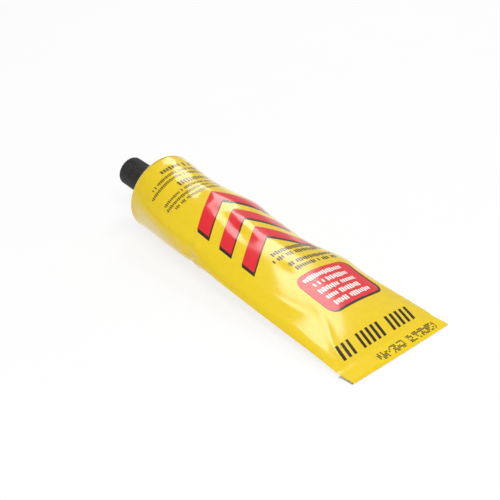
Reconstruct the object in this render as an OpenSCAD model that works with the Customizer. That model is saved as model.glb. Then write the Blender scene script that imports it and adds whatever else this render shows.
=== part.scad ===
// Collapsible aluminium tube of adhesive sealant, full and unopened, lying on its belly.
// Millimetres. +X runs from the cap to the tail fold, +Z is up, and the floor is z = 0.
// The cap is held clear of the floor, because the round shoulder is the tallest section.

/* [Body] */
// Outside diameter of the round body at the shoulder
tube_dia = 32; // [28:0.5:35]
// Level distance from the shoulder's rim to the tail edge
body_length = 126; // [118:1:136]
// Length behind the rim that the shoulder keeps round
round_lead = 2.2; // [1.5:0.1:4]
// How far the flanks are pinched in at mid-length, as a drop in the section's exponent
pinch = 0.5; // [0:0.05:0.6]
// How much fuller than a straight wedge the filling keeps the tail end
end_fill = 3.6; // [1.5:0.1:4.5]
// Length over which that full end closes down to the fold
end_round = 21; // [14:1:26]
// Depth of the strip that the filled belly flattens where it lies
belly_flat = 0.3; // [0.1:0.05:0.6]

/* [Tail fold] */
// Width of the band that is folded under
fold_width = 6.4; // [5:0.2:8]
// Thickness of the two tube walls pressed together
fold_sheet = 0.4; // [0.3:0.05:0.5]
// Gap between the folded layers
fold_gap = 0.1; // [0.06:0.01:0.15]
// How far the fold's top layer opens upwards at the band's upstream side
fold_open = 0.8; // [0.4:0.1:1.2]
// How far the under layer's corner sticks out past the near side
fold_ear = 1; // [0.2:0.1:1.5]

/* [Shoulder and nozzle] */
// Radius of the rim between body wall and shoulder
rim_round = 1.6; // [0.8:0.1:2]
// Height of the shoulder cone above the rim plane
shoulder_rise = 4.9; // [4.4:0.1:5.4]
// Crest diameter of the nozzle's thread
thread_dia = 8.6; // [8:0.1:9]
// Length of the threaded stretch of the nozzle
thread_length = 6.8; // [6:0.1:7.2]
// Diameter of the plain nozzle tip at its closed end
tip_dia = 5; // [4.4:0.1:5.4]

/* [Cap] */
// Outside diameter of the cap at its open end, over the ribs
cap_dia = 12.4; // [12.2:0.1:13.2]
// Height of the cap
cap_height = 16.8; // [16.4:0.1:18]
// How much narrower the cap is at its closed end
cap_taper = 0.3; // [0:0.05:0.5]
// Radius of the cap's closed-end edge
cap_round = 1.2; // [0.8:0.1:1.4]
// Thickness of the cap's closed end, up to which the nozzle and the sealing disc reach
cap_end = 2.6; // [2.2:0.1:3]
// Number of grip ribs round the cap
rib_count = 40; // [28:1:44]
// Depth of the grooves between the ribs
rib_depth = 0.22; // [0.1:0.02:0.3]
// Width of the flat lip round the cap's open end
cap_lip = 0.5; // [0.4:0.05:0.8]
// Gap between the cap's open end and the shoulder
cap_gap = 0.2; // [0.1:0.05:0.4]
// Radial clearance between the nozzle's thread and the cap's bore
thread_clear = 0.08; // [0.05:0.01:0.1]
// Radial clearance round the nozzle tip inside the cap
tip_clear = 0.5; // [0.4:0.05:0.6]
// Thickness of the sealing disc
liner_thick = 1; // [0.8:0.1:1.2]
// Gap on every side of the sealing disc
liner_gap = 0.04; // [0.02:0.01:0.06]

/* [Hidden] */
$fn = 96;

body_rad = tube_dia / 2;
// The shoulder's turned edge stands this much proud of the wall's facets, so that they join
wall_lap = 0.02;
tail_half = PI * tube_dia / 4;
fold_start = body_length - fold_width;
fold_height = 3 * fold_sheet + 2 * fold_gap;
// The body ends inside the fold's top layer, at this thickness and height above the floor
end_thick = 0.8 * fold_sheet;
end_lift = fold_height + fold_open - 0.9 * fold_sheet;
// The axis leans by this angle, because the round shoulder and the flat tail share one floor
lean = atan((body_rad - fold_height / 2) / body_length);
rim_height = body_rad * cos(lean);

cap_base = shoulder_rise - lip_drop() + cap_gap;
cap_top = cap_base + cap_height;
nozzle_top = cap_top - cap_end - liner_thick - 2 * liner_gap;
thread_rad = thread_dia / 2;
bore_rad = thread_rad + thread_clear;
cap_end_rad = (cap_dia - cap_taper) / 2;

// The row's origin is the middle of the bounding box, on the floor
x_cap = -(cap_top - cap_round) * cos(lean) - (cap_end_rad - cap_round) * sin(lean) - cap_round;
x_mid = (x_cap + body_length) / 2;
y_mid = -fold_ear / 2;

// The shoulder is a cone: how far it drops from the nozzle to under the cap's lip
function lip_drop() = shoulder_slope() * (cap_dia / 2 - cap_lip - thread_dia / 2);
function shoulder_slope() =
    (shoulder_rise - rim_round) / (body_rad - rim_round - thread_dia / 2);

/* Section of the body. Its outline is a superellipse whose girth stays that of the round
   tube, because the wall bends but doesn't stretch. */
RING_POINTS = 56;
RINGS = 48;
STEPS = [for (i = [0 : RING_POINTS - 1]) 360 * i / RING_POINTS];
function unit_point(angle, power) = [
    sign(cos(angle)) * pow(abs(cos(angle)), 2 / power),
    sign(sin(angle)) * pow(abs(sin(angle)), 2 / power)];
function girth(wide, high, power, i = 0, total = 0) =
    i == RING_POINTS ? total
    : let (a = unit_point(STEPS[i], power), b = unit_point(STEPS[(i + 1) % RING_POINTS], power))
      girth(wide, high, power, i + 1, total + norm([wide * (b[0] - a[0]), high * (b[1] - a[1])]));
function half_width(high, power, low = 0, top = 30, turns = 18) =
    let (mid = (low + top) / 2)
    turns == 0 ? mid
    : girth(mid, high, power) > girth(body_rad, body_rad, 2)
      ? half_width(high, power, low, mid, turns - 1)
      : half_width(high, power, mid, top, turns - 1);

function soft(x) = max(0, x - round_lead);
function closing(x) = pow(max(0, (x - fold_start + end_round) / end_round), 2);
function thickness(x) = tube_dia
    + (end_thick + end_fill - tube_dia) * soft(x) / soft(fold_start) - end_fill * closing(x);
function section_power(x) = 2 - pinch * sin(180 * min(1, soft(x) / soft(fold_start)));

/* Dents of the soft wall, as the photo shows them: place along the body, clock angle from
   the top towards the far side, half length, half width, depth (a bulge is negative). */
DENTS = [
    [3.7, -8, 2.3, 3.4, 0.5],       // dimple behind the shoulder's top
    [14, 46, 6, 6, 0.75],           // first hollow of the far flank
    [24, -10, 2.6, 3.4, 0.45],      // round dent on top
    [26, -100, 9, 7, -0.5],         // low swell of the near flank
    [34, 60, 5, 6.5, -0.95],        // bulge of the far flank
    [38, 2, 3, 3.4, 0.4],           // second round dent on top
    [42, -84, 2.2, 2.6, 0.6],       // kink low on the near flank
    [59, 68, 6, 6.5, 0.5],          // second hollow of the far flank
    [77, 70, 5, 6, -0.5],           // second bulge of the far flank
    [77, -22, 5.3, 3.2, 0.45],      // long dent before the panel
    [100, -35, 7.5, 3.2, 0.4]];     // flat facet ahead of the near tail corner
function dent(x, clock, depth = 0, i = 0) =
    i == len(DENTS) ? depth
    : let (d = DENTS[i], along = (x - d[0]) / d[2], round = (clock - d[1]) * PI / 180 * body_rad * 0.8 / d[3])
      dent(x, clock, depth + d[4] * exp(-(along * along + round * round) / 2), i + 1);

function ring(x) =
    let (high = thickness(x) / 2, power = section_power(x), wide = half_width(high, power),
         turn = lean * (1 - soft(x) / soft(fold_start)),
         flat = belly_flat * min(1, soft(x) / 12) * (1 - closing(x)),
         lift = end_lift * closing(x))
    [for (angle = STEPS)
        let (p = unit_point(angle, power),
             shrink = 1 - dent(x, 90 - angle > -180 ? 90 - angle : 450 - angle) / high,
             y = wide * p[0] * (angle == 0 || angle == 180 ? 1 : shrink),
             z = high * p[1] * shrink)
        [x + z * sin(turn), y, max(lift, (high - flat + z) * cos(turn) + lift)]];

function centre(ring) = (ring[0] + ring[RING_POINTS / 2]) / 2;

module wall() {
    first = [0.05, round_lead, round_lead + 1.2, round_lead + 2.4];
    start = round_lead + 3.6;
    stations = concat(first,
        [for (i = [0 : RINGS]) start + (fold_start + 0.3 - start) * i / RINGS]);
    last = len(stations) - 1;
    rings = [for (x = stations) ring(x)];
    points = concat([for (r = rings) each r], [centre(rings[0]), centre(rings[last])]);
    hub = len(points) - 2;
    sides = [for (k = [0 : last - 1]) for (i = [0 : RING_POINTS - 1])
        let (j = (i + 1) % RING_POINTS, a = k * RING_POINTS, b = a + RING_POINTS)
        each [[a + i, b + i, a + j], [a + j, b + i, b + j]]];
    ends = [for (i = [0 : RING_POINTS - 1])
        let (j = (i + 1) % RING_POINTS, b = last * RING_POINTS)
        each [[hub, i, j], [hub + 1, b + j, b + i]]];
    polyhedron(points, concat(sides, ends), convexity = 6);
}

// Everything turned about the tube's axis is drawn along +Z and then laid along the lean
module on_axis() {
    translate([0, 0, rim_height]) rotate([0, lean - 90, 0]) children();
}

/* Shoulder and nozzle, pressed in one with the wall. The membrane closes the nozzle, and the
   fine thread is left to the finish model: this cylinder is its crest. */
module shoulder() {
    rim = [for (a = [0 : 10 : 90])
        [body_rad + wall_lap - rim_round + rim_round * cos(a), rim_round * sin(a)]];
    rotate_extrude() polygon(concat(
        [[0, -1], [body_rad - 0.9, -1], [body_rad + wall_lap, -0.1],
         [body_rad + wall_lap, 0]], rim,
        [[thread_rad, shoulder_rise],
         [thread_rad, shoulder_rise + thread_length - 0.4],
         [thread_rad - 0.5, shoulder_rise + thread_length],
         [tip_dia / 2 + 0.35, shoulder_rise + thread_length],
         [tip_dia / 2, nozzle_top - 0.3],
         [tip_dia / 2 - 0.3, nozzle_top],
         [0, nozzle_top]]));
}

/* Tail fold in section: the top layer runs to the tail edge and bends under, comes back as
   the bottom layer, and bends up into a middle layer whose raw edge lies inside. */
module half_bend(outer, inner, side) {
    intersection() {
        difference() {
            circle(r = outer);
            circle(r = inner);
        }
        translate([side < 0 ? -outer : 0, -outer]) square([outer, 2 * outer]);
    }
}
module fold_section() {
    big = fold_height / 2;
    small = fold_sheet + fold_gap / 2;
    edge = body_length - big;
    back = fold_start + small;
    lap = 0.02;
    translate([back, 0]) square([edge - back + lap, fold_sheet]);
    translate([back - lap, fold_sheet + fold_gap]) square([edge - 0.4 - back, fold_sheet]);
    translate([edge, big]) half_bend(big, big - fold_sheet, 1);
    translate([back, small]) half_bend(small, fold_gap / 2, -1);
    polygon([
        [edge + lap, fold_height - fold_sheet], [edge + lap, fold_height],
        [edge, fold_height],
        [fold_start, fold_height + fold_open],
        [fold_start, fold_height + fold_open - fold_sheet],
        [edge, fold_height - fold_sheet]]);
}
module tail_fold() {
    translate([0, tail_half, 0]) rotate([90, 0, 0])
        linear_extrude(2 * tail_half) fold_section();
    // The under layer's corner splays out past the near side
    translate([0, 0, fold_gap]) linear_extrude(fold_sheet) polygon([
        [fold_start + 0.5, -tail_half + 0.5], [fold_start + 0.2, -tail_half],
        [fold_start + 0.1, -tail_half - fold_ear],
        [fold_start + 0.9, -tail_half - fold_ear],
        [fold_start + 3, -tail_half], [fold_start + 3, -tail_half + 0.5]]);
}

module tube() {
    color([0.93, 0.80, 0.12]) translate([-x_mid, -y_mid, 0]) {
        wall();
        on_axis() shoulder();
        tail_fold();
    }
}

/* Screw cap, moulded in one. Its grip ribs run to the rounded closed end. */
module cap_outside() {
    end = [for (a = [0 : 10 : 90])
        [cap_end_rad - cap_round + cap_round * cos(a), cap_top - cap_round + cap_round * sin(a)]];
    rotate_extrude() polygon(concat([[0, cap_base], [cap_dia / 2, cap_base]], end,
        [[0, cap_top]]));
}
module rib_outline() {
    step = 360 / rib_count;
    crest = cap_dia / 2 + 0.2;
    root = cap_end_rad - rib_depth;
    polygon([for (i = [0 : rib_count - 1]) each [
        for (p = [[-0.2, crest], [0.2, crest], [0.34, root], [0.66, root]])
            p[1] * [cos((i + p[0]) * step), sin((i + p[0]) * step)]]]);
}
module cap_inside() {
    tip_bore = tip_dia / 2 + tip_clear;
    mouth = shoulder_rise + thread_length + 0.3;
    seat = nozzle_top + 2 * liner_gap + liner_thick;
    // Inside its lip the open end is a cone that follows the shoulder, one cap_gap away
    lip = cap_dia / 2 - cap_lip;
    rotate_extrude() polygon([
        [0, cap_base - 1], [lip, cap_base - 1], [lip, cap_base],
        [bore_rad, cap_base + shoulder_slope() * (lip - bore_rad)],
        [bore_rad, mouth], [tip_bore, mouth + 0.4],
        [tip_bore, seat], [0, seat]]);
}
module cap() {
    color([0.13, 0.13, 0.14]) translate([-x_mid, -y_mid, 0]) on_axis() difference() {
        intersection() {
            cap_outside();
            translate([0, 0, cap_base - 1]) linear_extrude(cap_height + 2) rib_outline();
        }
        cap_inside();
    }
}

/* Sealing disc, loose in the cap's end. It presses on the nozzle's membrane. */
module cap_liner() {
    color([0.92, 0.91, 0.87]) translate([-x_mid, -y_mid, 0]) on_axis()
        translate([0, 0, nozzle_top + liner_gap])
            cylinder(r = tip_dia / 2 + tip_clear - liner_gap, h = liner_thick);
}

tube();
cap();
cap_liner();
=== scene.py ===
import math

import bpy
import numpy as np
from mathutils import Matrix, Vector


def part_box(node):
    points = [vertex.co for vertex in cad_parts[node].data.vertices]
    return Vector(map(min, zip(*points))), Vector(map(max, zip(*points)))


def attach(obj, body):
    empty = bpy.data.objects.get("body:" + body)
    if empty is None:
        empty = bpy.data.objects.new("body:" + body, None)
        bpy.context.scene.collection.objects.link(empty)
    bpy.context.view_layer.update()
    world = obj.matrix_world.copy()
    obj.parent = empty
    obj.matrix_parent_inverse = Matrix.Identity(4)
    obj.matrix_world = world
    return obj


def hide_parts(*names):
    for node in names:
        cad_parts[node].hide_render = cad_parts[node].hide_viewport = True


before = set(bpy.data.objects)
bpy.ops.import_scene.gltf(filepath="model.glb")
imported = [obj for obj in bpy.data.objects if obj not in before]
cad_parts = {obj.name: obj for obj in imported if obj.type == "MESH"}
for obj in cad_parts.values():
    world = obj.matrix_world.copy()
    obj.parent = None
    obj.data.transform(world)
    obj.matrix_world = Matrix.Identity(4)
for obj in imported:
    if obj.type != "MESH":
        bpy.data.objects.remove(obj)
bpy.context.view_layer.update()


# Tube: aluminium, pressed from one slug into shoulder, nozzle and thin round wall, which is
# enamelled and printed while it is round. It is filled from the tail, and the tail is pressed
# flat and folded under twice. One mesh runs from the nozzle's tip to the raw edge in the fold.
mm = 0.001
body_rad = 16 * mm
body_length = 126 * mm
round_lead = 2.2 * mm
pinch = 0.5
end_fill = 3.6 * mm
end_round = 21 * mm
belly_flat = 0.3 * mm
fold_width = 6.4 * mm
fold_sheet = 0.4 * mm
fold_gap = 0.1 * mm
fold_open = 0.8 * mm
fold_ear = 1 * mm
ear_length = 0.5 * mm
ear_lift = 0.25 * mm
droop_length = 16 * mm
top_steps, edge_steps, lower_steps = 16, 12, 10

fold_start = body_length - fold_width
fold_height = 3 * fold_sheet + 2 * fold_gap
end_thick = 0.8 * fold_sheet
end_lift = fold_height + fold_open - 0.9 * fold_sheet
tail_half = math.pi * body_rad / 2
girth = 2 * math.pi * body_rad
lean = math.atan((body_rad - fold_height / 2) / body_length)
rim_height = body_rad * math.cos(lean)
rim_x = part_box("tube")[1].x - body_length
mid_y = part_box("tube")[1].y - tail_half

around = 192
body_steps = 290

# Dents of the soft wall: place along the body, clock angle from the top towards the far side,
# half length, half width (all lengths in millimetres), depth. A bulge is negative.
dents = [
    (3.7, -8, 2.3, 3.4, 0.5), (14, 46, 6, 6, 0.75), (24, -10, 2.6, 3.4, 0.45),
    (26, -100, 9, 7, -0.5), (34, 60, 5, 6.5, -0.95), (38, 2, 3, 3.4, 0.4),
    (42, -84, 2.2, 2.6, 0.6), (59, 68, 6, 6.5, 0.5), (77, 70, 5, 6, -0.5),
    (77, -22, 5.3, 3.2, 0.45), (100, -35, 7.5, 3.2, 0.4)]

# Creases and small dings, pressed in along the surface's normal: place along the body, arc from
# the top centre line towards the near side, half length, half width, turn in degrees, depth. A
# raised one is negative.
creases = [
    (3, 7, 2.2, 1.6, 0, -0.32), (4, -4.5, 3.0, 2.2, 0, 0.22), (15, -0.5, 5.5, 4.6, 0, 0.75),
    (10, 3, 3.0, 1.0, 30, -0.10), (17, -3, 3.0, 1.2, 35, -0.10), (13, 5, 3.0, 1.3, -20, -0.12),
    (26, 3, 3.2, 2.7, 25, 0.80), (26, 3, 5.0, 4.2, 25, -0.50),
    (34, -2, 4.5, 1.6, -28, 0.16), (36, 3, 4.0, 2.2, 0, 0.35),
    (41, 0, 4.0, 1.4, -30, -0.14), (48.5, 4.6, 5.0, 1.9, 6, 0.60),
    (56, 1, 5.0, 1.2, 15, -0.12), (63, 1, 4.0, 1.4, -20, 0.16),
    (74, 5.5, 3.4, 2.0, 20, 0.45), (74, 5.5, 5.6, 3.6, 20, -0.30),
    (22, 21.5, 17, 2.0, -3, -0.75), (22, 27.0, 17, 2.0, -3, 0.20),
    (34, 20.4, 7.5, 1.6, -5, -0.34), (33, 25.0, 8.0, 1.6, -5, 0.36),
    (39, 26, 1.8, 2.2, 0, 0.60), (42.5, 25, 0.9, 4.0, -15, -0.60),
    (41.5, 20.5, 4.0, 0.9, 50, -0.35), (51, 26, 5.0, 0.9, -12, 0.15),
    (72, 22.6, 24, 1.3, 0, -0.30), (68, 17, 9.0, 1.4, 12, -0.12), (84, 17, 6.0, 0.9, -8, -0.12),
    (103, 14.6, 6.0, 1.0, 31, -0.22), (112.5, 19, 5.0, 0.9, 19, -0.20),
    (113, -22, 4.0, 0.8, -42, -0.24), (110, -6, 6.0, 1.4, 70, 0.10),
    (105, -15, 7.0, 1.4, -35, 0.14), (96, -19, 9.0, 1.2, -10, 0.16), (70, -14, 8.0, 1.5, 14, 0.16)]


def soft(x):
    return np.maximum(0, x - round_lead)


def closing(x):
    return np.clip((x - fold_start + end_round) / end_round, 0, 1) ** 2


# Material distance from the rim plane of every ring of the wall up to the fold
body_at = np.concatenate([
    np.linspace(0, round_lead, 8, endpoint=False),
    np.linspace(round_lead, fold_start, body_steps)])

# Path of the pressed tail through its double fold: place, height and normal of each ring
tail_path = []


def straight(start, end, steps):
    along = np.subtract(end, start) / math.dist(start, end)
    for share in np.linspace(0, 1, steps + 1)[1:]:
        x, z = np.add(start, share * np.subtract(end, start))
        tail_path.append((x, z, -along[1], along[0]))


def bend(centre, radius, start, end, steps):
    """A bend under: the normal turns clockwise from start to end, in degrees from +X."""
    side = 1 if radius > 0 else -1
    for angle in np.radians(np.linspace(start, end, steps + 1)[1:]):
        out = math.cos(angle), math.sin(angle)
        tail_path.append((centre[0] + abs(radius) * out[0], centre[1] + abs(radius) * out[1],
                          side * out[0], side * out[1]))


edge_x = body_length - fold_height / 2
back_x = fold_start + fold_sheet + fold_gap / 2
layer = fold_sheet / 2
big_bend = fold_height / 2 - layer
small_bend = layer + fold_gap / 2
straight((fold_start, end_lift + end_thick / 2), (edge_x, fold_height - layer),
         top_steps)
bend((edge_x, fold_height / 2), big_bend, 90, -90, edge_steps)
straight((edge_x, layer), (back_x, layer), lower_steps)
bend((back_x, layer + small_bend), -small_bend, -90, -270, 8)
straight((back_x, layer + 2 * small_bend), (edge_x - 0.5 * mm, layer + 2 * small_bend), 6)
tail_path = np.array(tail_path)
tail_at = fold_start + np.cumsum(np.hypot(
    np.diff(tail_path[:, 0], prepend=fold_start),
    np.diff(tail_path[:, 1], prepend=end_lift + end_thick / 2)))
rings_at = np.concatenate([body_at, tail_at])
ring_count = len(rings_at)

# Section of each ring: a superellipse whose girth stays that of the round tube
angles = np.arange(around) * 2 * math.pi / around
power = 2 - pinch * np.sin(math.pi * np.clip(soft(rings_at) / soft(fold_start), 0, 1))
high = (2 * body_rad + (end_thick + end_fill - 2 * body_rad) * soft(rings_at) / soft(fold_start)
        - end_fill * closing(rings_at)) / 2
high = np.where(rings_at > fold_start, 0.95 * layer, high)
unit = np.stack([np.sign(f) * np.abs(f) ** (2 / power[:, None])
                 for f in (np.cos(angles)[None], np.sin(angles)[None])], axis=-1)
low_wide, high_wide = np.zeros(ring_count), np.full(ring_count, 2 * body_rad)
for _ in range(30):
    wide = (low_wide + high_wide) / 2
    sides = np.roll(unit, -1, axis=1) - unit
    lengths = np.hypot(wide[:, None] * sides[..., 0], high[:, None] * sides[..., 1])
    too_long = lengths.sum(1) > girth
    high_wide = np.where(too_long, wide, high_wide)
    low_wide = np.where(too_long, low_wide, wide)

# Arc of every point from the top centre line, positive towards the near side
top = around // 4
arc = np.concatenate([np.zeros((ring_count, 1)), np.cumsum(lengths, 1)], 1)
arc = (arc[:, :around] - arc[:, top:top + 1]) * girth / lengths.sum(1)[:, None]
arc[:, 3 * top + 1:] -= girth

clock = (90 - np.degrees(angles) + 180) % 360 - 180
dent = sum(depth * mm * np.exp(-(((body_at[:, None] / mm - place) / length) ** 2 + (
    (clock[None] - turn) * math.pi / 180 * body_rad / mm * 0.8 / width) ** 2) / 2)
    for place, turn, length, width, depth in dents)

x = body_at[:, None]
h = high[:len(body_at), None]
shrink = 1 - dent / h
y = wide[:len(body_at), None] * unit[:len(body_at), :, 0] * shrink
z = h * unit[:len(body_at), :, 1] * shrink
tilt = lean * (1 - soft(x) / soft(fold_start))
flat = belly_flat * np.minimum(1, soft(x) / (12 * mm)) * (1 - closing(x))
lift = end_lift * closing(x)
settle = np.minimum(x, round_lead) * math.tan(lean) * np.exp(-soft(x) / (3 * mm)) * (
    1 + z / h) / 2
wall_points = np.stack([
    x + z * np.sin(tilt) + 0 * y, y,
    np.maximum(lift, (h - flat + z) * np.cos(tilt) + lift - settle)], axis=-1)

px, pz, nx, nz = (tail_path[:, i, None] for i in range(4))
fold_z = high[len(body_at):, None] * unit[len(body_at):, :, 1]
fold_y = wide[len(body_at):, None] * unit[len(body_at):, :, 0]
tail_points = np.stack([px + nx * fold_z, fold_y, pz + nz * fold_z], axis=-1)
points = np.concatenate([wall_points, tail_points])

# Towards the two corners the top sheet droops until it lies on the folded layers
gap_height = end_lift + end_thick / 2 - (fold_height - layer)
droop = gap_height * np.clip((rings_at - fold_start) / droop_length + 1, 0, 1) ** 2
droop = np.where(rings_at > fold_start,
                 gap_height * (1 - (rings_at - fold_start) / (edge_x - fold_start)), droop)
cornered = np.clip((np.abs(points[..., 1]) / tail_half - 0.7) / 0.3, 0, 1)
points[..., 2] -= np.maximum(0, droop)[:, None] * cornered ** 2 * (3 - 2 * cornered)

# The under layer's corner splays out past the near side, where it turns back up
back_at = tail_at[top_steps + edge_steps + lower_steps]
splay = np.exp(-((rings_at - back_at) / ear_length) ** 2)[:, None]
near = np.clip((-points[..., 1] / tail_half - 0.9) / 0.1, 0, 1) ** 2
points[..., 1] -= fold_ear * splay * near
points[..., 2] += ear_lift * splay * near

# Creases follow the surface's own normal, which the grid of points gives
normal = np.cross(np.roll(points, -1, 1) - np.roll(points, 1, 1), np.gradient(points, axis=0))
normal /= np.linalg.norm(normal, axis=-1, keepdims=True)
fade = np.clip(rings_at / (4 * mm), 0, 1) * np.clip((fold_start - rings_at) / (3 * mm), 0, 1)
press = 0
for place, off, length, width, turn, depth in creases:
    ds = rings_at[:, None] / mm - place
    da = arc / mm - off
    c, s = math.cos(math.radians(turn)), math.sin(math.radians(turn))
    press = press + depth * mm * np.exp(-(((ds * c + da * s) / length) ** 2 + (
        (da * c - ds * s) / width) ** 2) / 2)
above = np.clip(points[..., 2] / (2 * mm), 0, 1)
points -= normal * (press * fade[:, None] * above)[..., None]
points += np.array([rim_x, mid_y, 0])

# A round tube with a cut for every ring, whose points then take their places
bpy.ops.object.select_all(action="DESELECT")
bpy.ops.mesh.primitive_cylinder_add(
    vertices=around, radius=body_rad, depth=1, end_fill_type="NOTHING",
    rotation=(0, math.pi / 2, 0))
tube = bpy.context.object
tube.name = tube.data.name = "tube_shell"
bpy.ops.object.transform_apply(location=True, rotation=True, scale=True)
bpy.ops.object.mode_set(mode="EDIT")
bpy.ops.mesh.select_mode(type="EDGE")
bpy.ops.mesh.select_all(action="DESELECT")
bpy.ops.object.mode_set(mode="OBJECT")
for edge in tube.data.edges:
    first, second = (tube.data.vertices[i].co for i in edge.vertices)
    edge.select = abs(first.x - second.x) > 0.5
bpy.ops.object.mode_set(mode="EDIT")
bpy.ops.mesh.subdivide(number_cuts=ring_count - 2)
bpy.ops.object.mode_set(mode="OBJECT")

co = np.empty(len(tube.data.vertices) * 3)
tube.data.vertices.foreach_get("co", co)
co = co.reshape(-1, 3)
ring_of = np.rint((co[:, 0] + 0.5) * (ring_count - 1)).astype(int)
step_of = np.rint(np.arctan2(co[:, 2], co[:, 1]) / (2 * math.pi / around)).astype(int) % around
tube.data.vertices.foreach_set("co", points[ring_of, step_of].ravel())

# The print lies on the wall as on the flat sheet: a map of distance and arc, in millimetres
corner = np.empty(len(tube.data.loops), int)
tube.data.loops.foreach_get("vertex_index", corner)
corner_arc = arc[ring_of[corner], step_of[corner]]
face_of = np.repeat(np.arange(len(tube.data.polygons)), 4)
mean_arc = np.bincount(face_of, corner_arc)[face_of] / 4
past_seam = (mean_arc < 0) & (corner_arc > girth / 4)
corner_arc = np.where(past_seam, corner_arc - girth, corner_arc)
on_seam = (step_of[corner] == 3 * top) & (mean_arc < girth / 4)
corner_arc = np.where(on_seam, -girth / 2, corner_arc)
print_map = tube.data.uv_layers[0]
print_map.name = "print"
print_map.uv.foreach_set("vector", np.stack(
    [rings_at[ring_of[corner]] / mm, corner_arc / mm], 1).astype(np.float32).ravel())

# Raw edge of the tail, inside the fold
bpy.ops.object.mode_set(mode="EDIT")
bpy.ops.mesh.select_all(action="DESELECT")
bpy.ops.object.mode_set(mode="OBJECT")
last = set(np.flatnonzero(ring_of == ring_count - 1).tolist())
for edge in tube.data.edges:
    edge.select = set(edge.vertices) <= last
bpy.ops.object.mode_set(mode="EDIT")
bpy.ops.mesh.edge_face_add()
bpy.ops.object.mode_set(mode="OBJECT")

# Shoulder and nozzle, turned ring by ring about the tube's axis
rim_round = 1.6 * mm
shoulder_rise = 4.9 * mm
thread_rad = 4.3 * mm
thread_root = 3.75 * mm
thread_length = 6.8 * mm
thread_pitch = 2 * mm
tip_rad = 2.5 * mm
liner_thick = 1 * mm
cap_dia = 12.4 * mm
cap_height = 16.8 * mm
cap_lip = 0.5 * mm
cap_gap = 0.2 * mm
cap_end = 2.6 * mm
liner_gap = 0.04 * mm
slope = (shoulder_rise - rim_round) / (body_rad - rim_round - thread_rad)
cap_base = shoulder_rise - slope * (cap_dia / 2 - cap_lip - thread_rad) + cap_gap
nozzle_top = cap_base + cap_height - cap_end - liner_thick - 2 * liner_gap


def first_ring(name, radius, vertices):
    """Starts a turned piece with an open ring in the floor's plane, about +Z."""
    bpy.ops.object.select_all(action="DESELECT")
    bpy.ops.mesh.primitive_circle_add(vertices=vertices, radius=radius, fill_type="NOTHING")
    piece = bpy.context.object
    piece.name = piece.data.name = name
    bpy.ops.object.mode_set(mode="EDIT")
    bpy.ops.mesh.select_all(action="SELECT")
    return piece


def turn_rings(profile, start):
    """Draws the selected ring on through each radius and height of a profile."""
    radius, height = start
    for new_radius, new_height in profile:
        bpy.ops.mesh.extrude_region_move(
            TRANSFORM_OT_translate={"value": (0, 0, new_height - height)})
        scale = new_radius / radius
        bpy.ops.transform.resize(value=(scale, scale, 1), center_override=(0, 0, new_height))
        radius, height = new_radius, new_height


def lay_on_axis(piece):
    """Lays a piece that was turned about +Z along the tube's leaning axis."""
    bpy.ops.object.mode_set(mode="OBJECT")
    piece.rotation_euler = (0, lean - math.pi / 2, 0)
    piece.location = (rim_x, mid_y, rim_height)
    bpy.ops.object.transform_apply(location=True, rotation=True, scale=True)


thread_steps = 54
shoulder_profile = [
    (body_rad - rim_round + rim_round * math.cos(a), rim_round * math.sin(a))
    for a in np.radians(np.linspace(0, 72, 7)[1:])]
rim_end = shoulder_profile[-1]
shoulder_profile += [
    (rim_end[0] + (thread_root + 0.5 * mm - rim_end[0]) * share,
     rim_end[1] + (shoulder_rise - 0.2 * mm - rim_end[1]) * share)
    for share in np.linspace(0, 1, 9)[1:]]
shoulder_profile += [(thread_root + 0.15 * mm, shoulder_rise - 0.05 * mm),
                     (thread_root, shoulder_rise + 0.15 * mm)]
thread_from, thread_to = shoulder_rise + 0.3 * mm, shoulder_rise + thread_length - 0.2 * mm
shoulder_profile += [(thread_root, height)
                     for height in np.linspace(thread_from, thread_to, thread_steps)]
shoulder_profile += [
    (thread_root - 0.1 * mm, shoulder_rise + thread_length),
    (tip_rad + 0.45 * mm, shoulder_rise + thread_length + 0.08 * mm),
    (tip_rad + 0.33 * mm, shoulder_rise + thread_length + 0.3 * mm),
    (tip_rad + 0.12 * mm, nozzle_top - 2.2 * mm), (tip_rad, nozzle_top - 0.3 * mm),
    (tip_rad - 0.1 * mm, nozzle_top - 0.08 * mm), (tip_rad - 0.3 * mm, nozzle_top),
    (tip_rad - 0.7 * mm, nozzle_top), (tip_rad - 0.8 * mm, nozzle_top - 0.12 * mm),
    (0.5 * mm, nozzle_top - 0.14 * mm)]
shoulder = first_ring("shoulder", body_rad, around)
turn_rings(shoulder_profile, (body_rad, 0))
bpy.ops.mesh.edge_face_add()
bpy.ops.object.mode_set(mode="OBJECT")


def cut_thread(piece, low, high_end, root, crest, offset):
    """Moves the rings between two heights to a right-handed thread that fades at both ends."""
    for vertex in piece.data.vertices:
        at = vertex.co
        radius = math.hypot(at.x, at.y)
        if abs(radius - root) < 0.01 * mm and low - 0.01 * mm <= at.z <= high_end + 0.01 * mm:
            phase = (at.z / thread_pitch - math.atan2(at.y, at.x) / (2 * math.pi) + offset) % 1
            tooth = min(1, max(0, (0.27 - abs(phase - 0.5)) / 0.13))
            ends = min(1, (at.z - low) / (0.9 * mm), (high_end - at.z) / (0.9 * mm))
            new = root + (crest - root) * tooth * max(0, ends)
            at.x *= new / radius
            at.y *= new / radius


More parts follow.
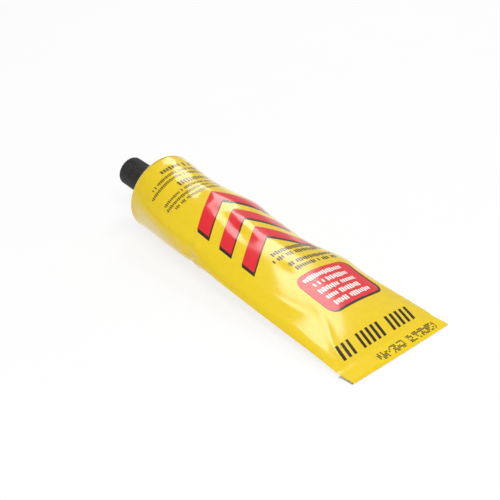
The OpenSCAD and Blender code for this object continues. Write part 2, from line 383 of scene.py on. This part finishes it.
cut_thread(shoulder, thread_from, thread_to, thread_root, thread_rad, 0)
shoulder_map = shoulder.data.uv_layers.new(name="print")
for loop in shoulder.data.loops:
    at = shoulder.data.vertices[loop.vertex_index].co
    shoulder_map.uv[loop.index].vector = (
        -(at.z + body_rad - math.hypot(at.x, at.y)) / mm, 0)
lay_on_axis(shoulder)
tube.select_set(True)
bpy.context.view_layer.objects.active = tube
bpy.ops.object.join()
bpy.ops.object.mode_set(mode="EDIT")
bpy.ops.mesh.select_all(action="SELECT")
bpy.ops.mesh.remove_doubles(threshold=0.01 * mm)
bpy.ops.mesh.normals_make_consistent(inside=False)
bpy.ops.object.mode_set(mode="OBJECT")
bpy.ops.object.shade_smooth_by_angle(angle=math.radians(50))


class Ink:
    """One socket of a finish in the making. Python's signs on it add Math nodes."""

    def __init__(self, tree, socket):
        self.tree, self.socket = tree, socket

    def add(self, kind, settings, sockets, output=0):
        node = self.tree.nodes.new(kind)
        for name, value in settings.items():
            if name == "stops":
                for stop in value[2:]:
                    node.color_ramp.elements.new(stop[0])
                for element, (place, colour) in zip(node.color_ramp.elements, value):
                    element.position, element.color = place, colour
            else:
                setattr(node, name, value)
        for name, value in sockets.items():
            if isinstance(value, Ink):
                self.tree.links.new(value.socket, node.inputs[name])
            else:
                node.inputs[name].default_value = value
        return Ink(self.tree, node.outputs[output])

    def math(self, operation, *values):
        sockets = dict(enumerate(values))
        return self.add("ShaderNodeMath", {"operation": operation}, sockets)

    def __add__(self, other): return self.math("ADD", self, other)
    __radd__ = __add__
    def __sub__(self, other): return self.math("SUBTRACT", self, other)
    def __rsub__(self, other): return self.math("SUBTRACT", other, self)
    def __mul__(self, other): return self.math("MULTIPLY", self, other)
    __rmul__ = __mul__
    def __truediv__(self, other): return self.math("DIVIDE", self, other)
    def __abs__(self): return self.math("ABSOLUTE", self)
    def __gt__(self, other): return self.math("GREATER_THAN", self, other)
    def __lt__(self, other): return self.math("LESS_THAN", self, other)
    def most(self, other): return self.math("MAXIMUM", self, other)
    def whole(self): return self.math("FLOOR", self)
    def part(self): return self.math("FRACT", self)
    def root(self): return self.math("SQRT", self)

    def inside(self, blur=0.1):
        """1 where this distance is negative, with an edge as soft as printed ink's."""
        return self.add("ShaderNodeMapRange", {"interpolation_type": "SMOOTHSTEP"},
                        {"Value": self, "From Min": blur, "From Max": -blur})

    def rises(self, start, end):
        """0 up to start and 1 from end on."""
        return self.add("ShaderNodeMapRange", {"interpolation_type": "SMOOTHSTEP"},
                        {"Value": self, "From Min": start, "From Max": end})

    def over(self, under, colour):
        """This mask's colour laid over another colour."""
        return self.add("ShaderNodeMix", {"data_type": "RGBA"}, {0: self, 6: under, 7: colour},
                        output=2)

    def noise(self, scale, detail=2.0, stretch=(1, 1, 1)):
        """Cloudy values about 0.5, on the place that this vector gives."""
        place = self.add("ShaderNodeVectorMath", {"operation": "MULTIPLY"},
                         {0: self, 1: stretch})
        return self.add("ShaderNodeTexNoise", {"noise_dimensions": "3D"},
                        {"Vector": place, "Scale": scale, "Detail": detail})

    def chance(self):
        """A value between 0 and 1 for each whole number."""
        return self.add("ShaderNodeTexWhiteNoise", {"noise_dimensions": "1D"}, {"W": self})


def new_finish(name):
    """An empty material, its shader node and a first socket to work from."""
    material = bpy.data.materials.new(name)
    material.use_nodes = True
    shader = material.node_tree.nodes["Principled BSDF"]
    place = material.node_tree.nodes.new("ShaderNodeTexCoord")
    return material, shader, Ink(material.node_tree, place.outputs["Object"])


def feed(shader, **values):
    for name, value in values.items():
        socket = shader.inputs[name.replace("_", " ").title()]
        if isinstance(value, Ink):
            value.tree.links.new(value.socket, socket)
        else:
            socket.default_value = value


def bumped(height, distance, strength=1.0):
    return height.add("ShaderNodeBump", {}, {
        "Height": height, "Distance": distance, "Strength": strength})


yellow = (0.85, 0.62, 0.006, 1)
yellow_deep = (0.81, 0.57, 0.005, 1)
red = (0.74, 0.012, 0.022, 1)
dark = (0.026, 0.011, 0.004, 1)
white_print = (0.88, 0.86, 0.80, 1)
aluminium = (0.76, 0.76, 0.77, 1)

enamel, enamel_shader, here = new_finish("printed_enamel_on_aluminium")
flat_map = here.add("ShaderNodeUVMap", {"uv_map": "print"}, {})
along = here.add("ShaderNodeSeparateXYZ", {}, {"Vector": flat_map}, output=0)
across = here.add("ShaderNodeSeparateXYZ", {}, {"Vector": flat_map}, output=1)
wander = here.noise(420, 3.0) - 0.5


def panel(place, off, half_along, half_across, rounding):
    """Distance to a rounded rectangle of the print, negative inside it."""
    over_along = (abs(along - place) - (half_along - rounding)).most(0)
    over_across = (abs(across - off) - (half_across - rounding)).most(0)
    return (over_along * over_along + over_across * over_across).root() - rounding


def rows_of_marks(start, rows, pitch, tall, off_from, off_to, block, seed, gaps, ragged=0.12):
    """Lines of short printed marks, as fine print looks from afar, with gaps between words.

    start, pitch and tall run along the tube, off_from to off_to across it, and block is the
    width of one mark. gaps is the share of marks left out, ragged that of a line's length."""
    row_at = (along - start) / pitch
    row = row_at.whole()
    inside_rows = (abs(along - (start + rows * pitch / 2)) - rows * pitch / 2).inside(0.05)
    cell_at = across / block + row * 17.37 + seed
    height = tall / 2 - tall * 0.13 * ((cell_at.whole() * 3.0 + 7).chance() > 0.45)
    upright = (abs(row_at.part() - 0.5) * pitch - height).inside(0.09)
    short = (row + seed).chance() * ragged * (off_from - off_to)
    length = (abs(across - (off_from + off_to) / 2) + short - (off_from - off_to) / 2).inside()
    mark = (abs(cell_at.part() - 0.5) * block - block * 0.36).inside(0.07)
    return inside_rows * upright * length * (cell_at.whole().chance() > gaps) * mark


def slanted_strokes(start, tall, off, slant, last, pitch, wide):
    """A bold row of slanted strokes about off, in groups of up to five: last on each side."""
    at = (across - off - (along - start) * slant) / pitch
    stroke = (abs(at.part() - 0.5) * pitch - wide / 2).inside(0.08)
    number = at.whole()
    group = ((number + 2) / 6).part() > 0.1
    ends = (number > 0.5 - last) * ((last - number) > 0.5)
    return stroke * group * ends * (abs(along - start - tall / 2) - tall / 2).inside(0.08)


chevron_start, chevron_pitch, chevron_bar, chevron_sweep, chevron_half = 26, 12.4, 3.2, 0.62, 16.5


def chevron(shift):
    """Distance to three bold chevrons that point to the cap, moved by shift for their shadow."""
    off = abs(across + 2 - shift)
    swept = along - shift - off * chevron_sweep - chevron_start
    bar = abs((swept / chevron_pitch).part() - 0.26) * chevron_pitch - chevron_bar
    last_bar = 2 * chevron_pitch + 2 * chevron_bar
    return bar.most(off - chevron_half).most(0 - swept).most(swept - last_bar)


chevrons = chevron(0)
outline = (chevrons - 0.55).inside()
shadow = (chevron(0.9) - 0.35).inside()
red_bars = chevrons.inside()
red_panel = panel(90, -6, 9.8, 13.4, 3.6)
panel_edge = (panel(90.5, -6.3, 10, 13.6, 3.8) - 0.35).inside()
fine_print = (
    rows_of_marks(7.9, 2, 2.3, 1.4, 17.5, -12.5, 0.78, 3, 0.07)
    .most(rows_of_marks(17.2, 3, 2.3, 1.4, 17.5, -12.5, 0.78, 11, 0.07))
    .most(rows_of_marks(4.4, 1, 3.2, 2.4, 7, -9, 1.45, 23, 0.03, 0))
    .most(rows_of_marks(13.6, 1, 3.2, 2.4, 6, -12, 1.45, 31, 0.03, 0)))
main_print = (
    rows_of_marks(64.9, 2, 2.8, 2.0, 7.5, -21, 1.15, 43, 0.08)
    .most(rows_of_marks(72.2, 2, 2.8, 2.0, 4.5, -22, 1.15, 57, 0.08))
    .most(slanted_strokes(110.9, 6.2, -1.4, 0.22, 8, 2.6, 1.35)))
white_lines = rows_of_marks(81.2, 5, 3.5, 2.2, 5.5, -17, 1.15, 83, 0.1)

# A batch mark of small dots on the fold's band: five rows, each dot there or not by chance
dot_pitch = 0.76
dot_rows, dot_cells = (along - 121.1) / dot_pitch, across / dot_pitch
dots = abs(dot_rows.part() - 0.5).most(abs(dot_cells.part() - 0.5)) - 0.44
dot_there = (dot_cells.whole() * 7.3 + dot_rows.whole() * 3.7).chance() > 0.42
dot_ink = dots.inside(0.08) * dot_there * (abs(dot_rows - 2.5) - 2.5).inside(0.05) * (
    abs(abs(across + 5.5) - 8.3) - 7.2).inside(0.05)

colour = wander.rises(-0.3, 0.5).over(yellow_deep, yellow)
colour = (fine_print * 0.86).over(colour, dark)
colour = (shadow.most(outline)).over(colour, dark)
colour = red_bars.over(colour, red)
colour = main_print.over(colour, dark)
colour = panel_edge.over(colour, dark)
colour = red_panel.inside().over(colour, red)
colour = (white_lines * red_panel.inside()).over(colour, white_print)
colour = (dot_ink * 0.9).over(colour, dark)

bare = (along + wander * 0.7).rises(126.05, 126.3).most(
    (along + wander * 1.2).rises(-3.0, -3.6))
colour = bare.over(colour, aluminium)
grain = here.noise(900, 4.0)
pressed = along.rises(118.5, 120.5)
feed(enamel_shader, base_color=colour, metallic=bare * (along < 0) * 0.95,
     roughness=0.28 + grain * 0.10 + pressed * 0.10 + bare * wander * 0.25,
     coat_weight=(1 - bare.most(pressed)) * 0.9,
     normal=bumped(here.noise(260, 2.0) + grain * 0.25, 0.00008))
enamel_shader.inputs["Coat Roughness"].default_value = 0.13
enamel_shader.inputs["Specular IOR Level"].default_value = 0.15
tube.data.materials.clear()
tube.data.materials.append(enamel)
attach(tube, "tube")
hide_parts("tube")


# Sealing disc: closed-cell foam, punched from sheet and pressed into the cap's closed end,
# where it lies on the nozzle's membrane.
liner_rad = tip_rad + 0.5 * mm - liner_gap
liner_low = nozzle_top + liner_gap
liner = first_ring("cap_liner_disc", liner_rad - 0.1 * mm, 96)
bpy.ops.transform.translate(value=(0, 0, liner_low))
turn_rings([(liner_rad, liner_low + 0.1 * mm), (liner_rad - 0.03 * mm, liner_low + 0.5 * mm),
            (liner_rad, liner_low + 0.9 * mm), (liner_rad - 0.12 * mm, liner_low + liner_thick),
            (liner_rad - 1.2 * mm, liner_low + liner_thick - 0.02 * mm)],
           (liner_rad - 0.1 * mm, liner_low))
bpy.ops.mesh.edge_face_add()
bpy.ops.mesh.select_all(action="DESELECT")
bpy.ops.object.mode_set(mode="OBJECT")
for edge in liner.data.edges:
    edge.select = all(abs(liner.data.vertices[i].co.z - liner_low) < 0.001 * mm
                      for i in edge.vertices)
bpy.ops.object.mode_set(mode="EDIT")
bpy.ops.mesh.edge_face_add()
bpy.ops.mesh.select_all(action="SELECT")
bpy.ops.mesh.normals_make_consistent(inside=False)
lay_on_axis(liner)
bpy.ops.object.shade_smooth_by_angle(angle=math.radians(40))

foam, foam_shader, here = new_finish("sealing_foam")
cells = here.add("ShaderNodeTexVoronoi", {}, {"Vector": here, "Scale": 3200})
foam_colour = cells.rises(0.1, 0.6).over((0.80, 0.78, 0.71, 1), (0.9, 0.88, 0.83, 1))
feed(foam_shader, base_color=foam_colour, roughness=0.75 + cells * 0.1,
     normal=bumped(cells, 0.00005))
liner.data.materials.append(foam)
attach(liner, "liner")
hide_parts("cap_liner")


# Screw cap: black plastic, moulded in one with fine grip ribs outside and a thread inside.
# It screws down on the nozzle to the shoulder.
rib_count = 40
rib_depth = 0.22 * mm
cap_end_rad = (cap_dia - 0.3 * mm) / 2
cap_round = 1.2 * mm
bore_rad = thread_rad + 0.08 * mm
bore_crest = 3.98 * mm
tip_bore = tip_rad + 0.5 * mm
bore_mouth = shoulder_rise + thread_length + 0.3 * mm
cap_top = cap_base + cap_height
seat = nozzle_top + 2 * liner_gap + liner_thick
lip = cap_dia / 2 - cap_lip
cap = first_ring("screw_cap", tip_bore * 0.3, 8 * rib_count)
bpy.ops.transform.translate(value=(0, 0, seat))
bore_low = cap_base + slope * (lip - bore_rad) + 0.2 * mm
cap_profile = [(tip_bore, seat), (tip_bore, bore_mouth + 0.4 * mm), (bore_rad, bore_mouth)]
cap_profile += [(bore_rad, height)
                for height in np.linspace(bore_mouth - 0.2 * mm, bore_low, 50)]
cap_profile += [
    (bore_rad + 0.12 * mm, bore_low - 0.16 * mm),
    (lip - 0.05 * mm, cap_base + slope * 0.05 * mm + 0.01 * mm), (lip + 0.05 * mm, cap_base),
    (cap_dia / 2 - 0.16 * mm, cap_base), (cap_dia / 2 - 0.04 * mm, cap_base + 0.05 * mm),
    (cap_dia / 2, cap_base + 0.2 * mm), (cap_dia / 2 - 0.02 * mm, cap_base + 1.0 * mm)]
side_low, side_high = cap_base + 1.0 * mm, cap_top - cap_round
cap_profile += [
    (cap_dia / 2 - 0.02 * mm + (cap_end_rad - cap_dia / 2 + 0.02 * mm) * share,
     side_low + (side_high - side_low) * share) for share in np.linspace(0, 1, 12)[1:]]
cap_profile += [
    (cap_end_rad - cap_round + cap_round * math.cos(a), side_high + cap_round * math.sin(a))
    for a in np.radians(np.linspace(0, 90, 11)[1:])]
cap_profile += [(cap_end_rad - 2.2 * mm, cap_top), (cap_end_rad - 2.5 * mm, cap_top - 0.12 * mm),
                (0.6 * mm, cap_top - 0.14 * mm)]
turn_rings(cap_profile, (tip_bore * 0.3, seat))
bpy.ops.mesh.edge_face_add()
bpy.ops.mesh.select_all(action="DESELECT")
bpy.ops.object.mode_set(mode="OBJECT")
for edge in cap.data.edges:
    ends = [cap.data.vertices[i].co for i in edge.vertices]
    edge.select = all(math.hypot(at.x, at.y) < tip_bore * 0.31 and abs(at.z - seat) < 0.01 * mm
                      for at in ends)
bpy.ops.object.mode_set(mode="EDIT")
bpy.ops.mesh.edge_face_add()
bpy.ops.object.mode_set(mode="OBJECT")
cut_thread(cap, bore_low, bore_mouth - 0.2 * mm, bore_rad, bore_crest, 0.5)

# Grooves between the ribs: rounded, fading out over the closed end's edge and near the lip
for vertex in cap.data.vertices:
    at = vertex.co
    radius = math.hypot(at.x, at.y)
    if radius > cap_end_rad - cap_round * 0.95 and at.z > cap_base + 0.1 * mm:
        wave = math.cos(math.atan2(at.y, at.x) * rib_count)
        groove = max(0, 0.35 - wave) / 1.35
        low_end = min(1, max(0, (at.z - cap_base - 0.1 * mm) / (0.5 * mm)))
        round_end = min(1, max(0, (radius - cap_end_rad + cap_round) / (0.9 * cap_round)))
        new = radius - rib_depth * groove ** 0.7 * low_end * round_end
        at.x *= new / radius
        at.y *= new / radius
bpy.ops.object.mode_set(mode="EDIT")
bpy.ops.mesh.select_all(action="SELECT")
bpy.ops.mesh.normals_make_consistent(inside=False)
lay_on_axis(cap)
bpy.ops.object.shade_smooth_by_angle(angle=math.radians(35))

black, black_shader, here = new_finish("satin_black_plastic")
mottle = here.noise(500, 4.0)
pits = here.noise(2600, 2.0)
feed(black_shader,
     base_color=mottle.rises(0.3, 0.7).over((0.007, 0.007, 0.008, 1), (0.014, 0.014, 0.015, 1)),
     roughness=0.42 + mottle * 0.12, normal=bumped(pits * 0.6 + mottle, 0.00004))
cap.data.materials.append(black)
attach(cap, "cap")
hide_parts("cap")


# Floor: a white sheet on which the tube lies, and which runs on behind it without a horizon.
bpy.ops.object.select_all(action="DESELECT")
bpy.ops.mesh.primitive_grid_add(x_subdivisions=8, y_subdivisions=8, size=6)
floor = bpy.context.object
floor.name = "floor_sheet"
sheet, sheet_shader, here = new_finish("white_floor")
feed(sheet_shader, base_color=here.noise(30, 3.0).rises(0.2, 0.8).over(
    (0.90, 0.90, 0.90, 1), (0.92, 0.92, 0.92, 1)), roughness=0.9)
seen = here.add("ShaderNodeLightPath", {}, {}, output="Is Camera Ray").most(
    here.add("ShaderNodeLightPath", {}, {}, output="Is Glossy Ray")).most(
    here.add("ShaderNodeLightPath", {}, {}, output="Is Transmission Ray"))
glow = here.add("ShaderNodeEmission", {}, {"Color": (1, 1, 1, 1), "Strength": 1.0})
plain = Ink(sheet.node_tree, sheet_shader.outputs[0])
both = here.add("ShaderNodeMixShader", {}, {0: seen * 0.8, 1: plain, 2: glow})
sheet.node_tree.links.new(both.socket, sheet.node_tree.nodes["Material Output"].inputs["Surface"])
floor.data.materials.append(sheet)


# Light: a dim white studio whose horizon is as pale as the floor. One soft box stands behind and
# above the tube, so that its reflection runs along the body's ridge, and another lights the tube
# from the right.
world = bpy.data.worlds.new("white_studio")
bpy.context.scene.world = world
world.use_nodes = True
sky = world.node_tree.nodes["Background"]
sky.inputs["Color"].default_value = (1, 1, 1, 1)
path = world.node_tree.nodes.new("ShaderNodeLightPath")
sky_seen = Ink(world.node_tree, path.outputs["Is Camera Ray"]).most(
    Ink(world.node_tree, path.outputs["Is Glossy Ray"])).most(
    Ink(world.node_tree, path.outputs["Is Transmission Ray"]))
sky_place = world.node_tree.nodes.new("ShaderNodeTexCoord")
look = Ink(world.node_tree, sky_place.outputs["Generated"])
sky_height = look.add("ShaderNodeSeparateXYZ", {}, {"Vector": look}, output=2)
ceiling = 0.44
above_floor = sky_seen * (1 - sky_height.rises(0.06, 0.16)) * (0.95 - ceiling)
world.node_tree.links.new((above_floor + ceiling).socket, sky.inputs["Strength"])

aim = (rim_x + 60 * mm, mid_y, 10 * mm)


def soft_box(name, direction, distance, width, height, watts):
    """A soft box that stands in this direction from the tube's middle and faces it."""
    lamp = bpy.data.lights.new(name, "AREA")
    lamp.shape, lamp.size, lamp.size_y, lamp.energy = "RECTANGLE", width, height, watts
    holder = bpy.data.objects.new(name, lamp)
    bpy.context.collection.objects.link(holder)
    length = math.hypot(*direction)
    holder.location = [a + d / length * distance for a, d in zip(aim, direction)]
    away = holder.location.copy()
    away.xyz = direction
    holder.rotation_euler = away.to_track_quat("Z", "Y").to_euler()


soft_box("soft_box_behind", (-0.345, 0.555, 0.757), 0.8, 0.22, 0.47, 1.8)
soft_box("soft_box_right", (0.5, -0.35, 0.79), 0.9, 0.5, 0.5, 4.9)


# Camera: in front of the tail's near side, looking down at 30 degrees.
camera_turn = math.radians(46.244)
camera_rise = math.radians(29.968)
camera_away = 419.2 * mm
target = (rim_x + 49.01 * mm, mid_y + 1.83 * mm, 8.5 * mm)
back = (math.sin(camera_turn) * math.cos(camera_rise),
        -math.cos(camera_turn) * math.cos(camera_rise), math.sin(camera_rise))
lens = bpy.data.cameras.new("camera")
lens.lens, lens.sensor_width = 79.2, 36
lens.clip_start = 0.01
camera = bpy.data.objects.new("camera", lens)
bpy.context.collection.objects.link(camera)
camera.location = [t + b * camera_away for t, b in zip(target, back)]
camera.rotation_euler = (math.pi / 2 - camera_rise, 0, camera_turn)
bpy.context.scene.camera = camera
bpy.context.scene.view_settings.view_transform = "Standard"
